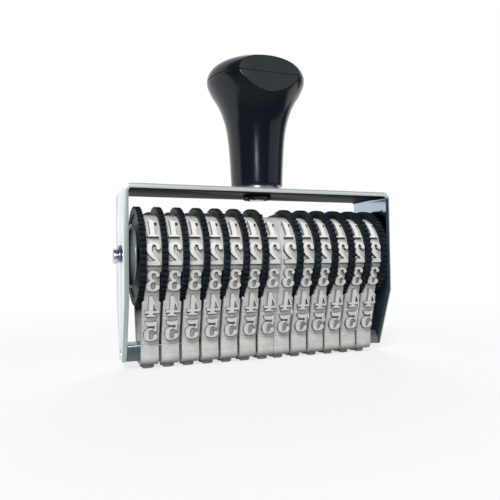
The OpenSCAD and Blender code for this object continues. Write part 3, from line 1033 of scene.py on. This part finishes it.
# %% Copy the wheel
for n in range(1, COUNT + 1):
    node = f"wheel_{n:02d}"
    low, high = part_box(f"band_{n:02d}")
    made = copy_to(wheel, (low.x + high.x) / 2, flip=n > LEFT)
    smooth(made)
    dress(made, WHEEL_BLACK)
    finish_piece(made, f"thumb_wheel_{n:02d}", f"thumb_{n:02d}", nodes=[node])
bpy.data.objects.remove(wheel)
print("wheels:", COUNT)

# %% [markdown]
# ## The handle
# The handle was turned: it is a disc pulled up in small steps and scaled at each one. It is two
# pieces, as the real one is moulded, with a fine groove where the crown meets the grip. A plane cuts
# the oval facet for the thumb into both.

# %% The handle's outline
grip_low, grip_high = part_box("handle_body")
BASE_R, HEAD_R = 7.35 * MM, 14.09 * MM
FOOT_AT, SEAM_Z, TOP_Z = grip_low.z, grip_high.z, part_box("handle_cap")[1].z
GRIP = [(0, 0), (0.36, 0.09), (0.56, 0.2), (0.7, 0.375), (0.8, 0.57), (0.9, 0.84), (1, 1)]
CROWN_POWER = 2.35


def grip_slope(i):
    """Slope of the grip's outline at one of the places that it passes through."""
    if i == len(GRIP) - 1:
        return 0.0
    (x0, y0), (x1, y1) = GRIP[max(0, i - 1)], GRIP[i + 1]
    return (y1 - y0) / (x1 - x0)


def radius_at(z):
    """Radius of the handle at a height."""
    if z > SEAM_Z:
        up = min(1.0, (z - SEAM_Z) / (TOP_Z - SEAM_Z))
        return HEAD_R * (1 - up**CROWN_POWER) ** (1 / CROWN_POWER)
    share = (z - FOOT_AT) / (SEAM_Z - FOOT_AT)
    i = max(k for k in range(len(GRIP) - 1) if GRIP[k][0] <= max(share, 0))
    (x0, y0), (x1, y1) = GRIP[i], GRIP[i + 1]
    w, t = x1 - x0, (share - x0) / (x1 - x0)
    bend = w * t * (1 - t) * ((1 - t) * grip_slope(i) - t * grip_slope(i + 1))
    return BASE_R + (HEAD_R - BASE_R) * (y0 + (y1 - y0) * t * t * (3 - 2 * t) + bend)


print("neck", round(radius_at(FOOT_AT) / MM, 2), "mm, head", round(radius_at(SEAM_Z) / MM, 2), "mm in radius")

# %% Turning, and the facet
SIDES = 128
FACET_OUT, FACET_TILT, FACET_LOW = 11.0 * MM, math.radians(4), 9 * MM
FACET_FACES = Vector((0, -math.cos(FACET_TILT), math.sin(FACET_TILT)))


def turned(steps):
    """A solid of revolution: a disc at the first step, pulled up and scaled to each of the others."""
    (z, r) = steps[0]
    bpy.ops.object.select_all(action="DESELECT")
    bpy.ops.mesh.primitive_circle_add(vertices=SIDES, radius=r, fill_type="NGON", location=(0, 0, z))
    piece = bpy.context.active_object
    settle(piece)
    pick(piece, "FACE")
    for (z0, r0), (z1, r1) in zip(steps, steps[1:]):
        bpy.ops.mesh.extrude_region_move(TRANSFORM_OT_translate={"value": (0, 0, z1 - z0)})
        bpy.ops.transform.resize(value=(r1 / r0, r1 / r0, 1), center_override=(0, 0, z1))
    done()
    return piece


def cut_facet(piece):
    """Cuts the facet's plane through the head, and leaves the neck alone."""
    pick(piece, "FACE", lambda face: face.calc_center_median().z > SEAM_Z - FACET_LOW)
    plane = Vector((0, 0, SEAM_Z)) + FACET_FACES * FACET_OUT
    bpy.ops.mesh.bisect(plane_co=plane, plane_no=FACET_FACES, clear_outer=True, use_fill=True)
    done()
    tidy(piece)
    soften(piece, 0.22 * MM, 24, 3)
    smooth(piece, 22)
    dress(piece, HANDLE_GLOSS, HANDLE_FACET)
    for face in piece.data.polygons:
        on_facet = face.normal.dot(FACET_FACES) > 0.999
        face.material_index = 1 if on_facet else 0


print("facet", round(FACET_OUT / MM, 1), "mm out, tilted", round(math.degrees(FACET_TILT)), "degrees")

# %% The grip
GROOVE_W, GROOVE_D = 0.16 * MM, 0.3 * MM
STUD_R, STUD_IN = 2.0 * MM, 14 * MM
GRIP_STEPS = 48

low_steps = [FOOT_AT + (SEAM_Z - GROOVE_W - FOOT_AT) * i / GRIP_STEPS for i in range(GRIP_STEPS + 1)]
grip = turned([(z, radius_at(z)) for z in low_steps] + [(SEAM_Z, HEAD_R - GROOVE_D)])
pick(grip, "FACE", lambda face: face.normal.z < -0.9)
bpy.ops.mesh.inset(thickness=BASE_R - STUD_R, depth=0, use_even_offset=True)
bpy.ops.mesh.extrude_region_move(TRANSFORM_OT_translate={"value": (0, 0, STUD_IN)})
done()
cut_facet(grip)
finish_piece(grip, "handle_grip", "stamp", nodes=["handle_body"])
print("grip", len(grip.data.polygons), "faces")

# %% The crown
CROWN_STEPS = 26
TIP_R = 0.4 * MM

rise = TOP_Z - SEAM_Z - GROOVE_W
quarters = [math.sin(math.pi / 2 * i / CROWN_STEPS) for i in range(CROWN_STEPS)]
high_steps = [SEAM_Z + GROOVE_W + rise * share for share in quarters]
crown = turned([(SEAM_Z, HEAD_R - GROOVE_D)] + [(z, radius_at(z)) for z in high_steps] + [(TOP_Z, TIP_R)])
cut_facet(crown)
finish_piece(crown, "handle_crown", "stamp", nodes=["handle_cap"])
print("crown", len(crown.data.polygons), "faces")

# %% [markdown]
# ## The steel parts
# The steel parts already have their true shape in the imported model, but a real cut or turned edge is
# never a knife edge. Each one is copied, its loose triangles are merged into whole faces, and its
# edges get a small round that catches the light.

# %% Refine the steel parts
STEEL_PARTS = {
    "frame": ("frame_sheet", "frame_zinc", FRAME_ZINC, 0.28),
    "bridge": ("bridge_bar", "bridge_zinc", BRIDGE_ZINC, 0.12),
    "axle": ("axle_rod", "pin_steel", PIN_STEEL, 0.18),
    "retaining_ring_left": ("ring_left", "ring_steel", RING_STEEL, 0.08),
    "retaining_ring_right": ("ring_right", "ring_steel", RING_STEEL, 0.08),
    "side_washer_left": ("washer_left", "washer_steel", WASHER_STEEL_PAINTED_SHEEN, 0.08),
    "side_washer_right": ("washer_right", "washer_steel", WASHER_STEEL_PAINTED_SHEEN, 0.08),
    "handle_boss": ("spacer", "washer_steel", WASHER_STEEL_PAINTED_SHEEN, 0.15),
    "handle_nut": ("nut", "nut_steel", NUT_STEEL, 0.15),
    "handle_stud": ("stud", "pin_steel", PIN_STEEL, 0.2),
}


def refined(node, edge):
    """A copy of a CAD node with whole faces and rounded edges."""
    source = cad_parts[node]
    piece = bpy.data.objects.new(node + "_copy", source.data.copy())
    scene.collection.objects.link(piece)
    only(piece)
    if piece.data.has_custom_normals:
        bpy.ops.mesh.customdata_custom_splitnormals_clear()
    pick(piece, "VERT")
    bpy.ops.mesh.remove_doubles(threshold=0.001 * MM)
    bpy.ops.mesh.select_all(action="SELECT")
    bpy.ops.mesh.dissolve_limited(angle_limit=math.radians(0.5))
    done()
    soften(piece, edge, 35)
    smooth(piece)
    return piece


for node, (name, slot, material, edge) in STEEL_PARTS.items():
    piece = refined(node, edge * MM)
    dress(piece, material)
    finish_piece(piece, name, "stamp", nodes=[node])
    print(name, len(piece.data.polygons), "faces")
